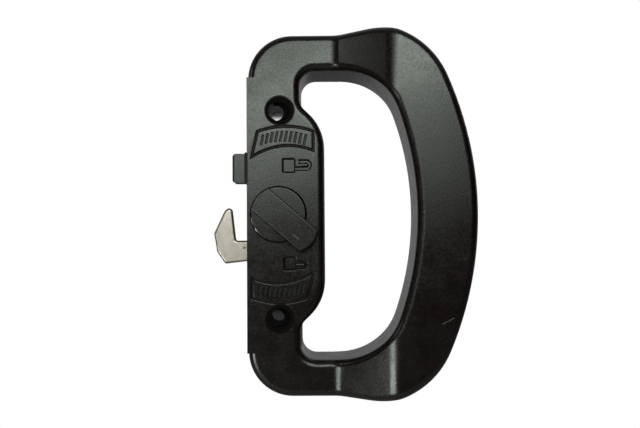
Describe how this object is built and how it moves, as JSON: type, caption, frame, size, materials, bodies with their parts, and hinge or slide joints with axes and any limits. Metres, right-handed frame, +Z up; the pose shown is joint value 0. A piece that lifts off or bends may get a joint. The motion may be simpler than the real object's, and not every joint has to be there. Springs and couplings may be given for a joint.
{
  "type": "door pull handle with hook latch",
  "caption": "Black die-cast patio door pull handle: flat plate with a thumb-turn and swinging hook latch, two ramped arms and a broad curved grip.",
  "frame": {"origin": "midway between the two fixing holes, on the flat back face that meets the door", "axes": "+Z up along the handle's length, +X from the hook side towards the grip, +Y into the door; the front faces -Y"},
  "size_m": [0.1092, 0.0395, 0.1518],
  "materials": {
    "casting_black": "satin black powder coat on a zinc die casting",
    "black_plastic": "moulded, fine matt",
    "nylon": "moulded natural nylon",
    "plated_hook": "bright plated, slightly yellow at the edges",
    "bright_steel": "bright zinc plated",
    "spring_steel": "plain spring steel",
    "cover_steel": "zinc plated sheet"
  },
  "bodies": {
    "handle": {"handle_body": "casting_black", "cover_plate": "cover_steel", "cover_screws": "bright_steel", "spindle_bush": "nylon", "thrust_washer": "nylon", "detent_ball": "bright_steel", "detent_spring": "spring_steel", "stop_pin": "bright_steel", "plunger_bezel": "black_plastic", "guide_rod": "bright_steel", "plunger_spring": "spring_steel"},
    "turn": {"thumb_turn": "casting_black", "spindle": "bright_steel", "hook_hub": "bright_steel", "hook": "plated_hook", "spring_washer": "spring_steel", "retaining_washer": "bright_steel", "retaining_screw": "bright_steel"},
    "plunger": {"plunger": "black_plastic"}
  },
  "joints": [
    {"name": "thumb_turn", "type": "hinge", "parent": "handle", "child": "turn", "pos_m": [0.0014, 0, -0.0001], "axis": [0, -1, 0], "range_deg": [0, 78]},
    {"name": "plunger_slide", "type": "slide", "parent": "handle", "child": "plunger", "axis": [1, 0, 0], "range_m": [0, 0.0048], "stiffness_N_per_m": 250, "springref_m": -0.004, "deforming": ["plunger_spring"]}
  ]
}
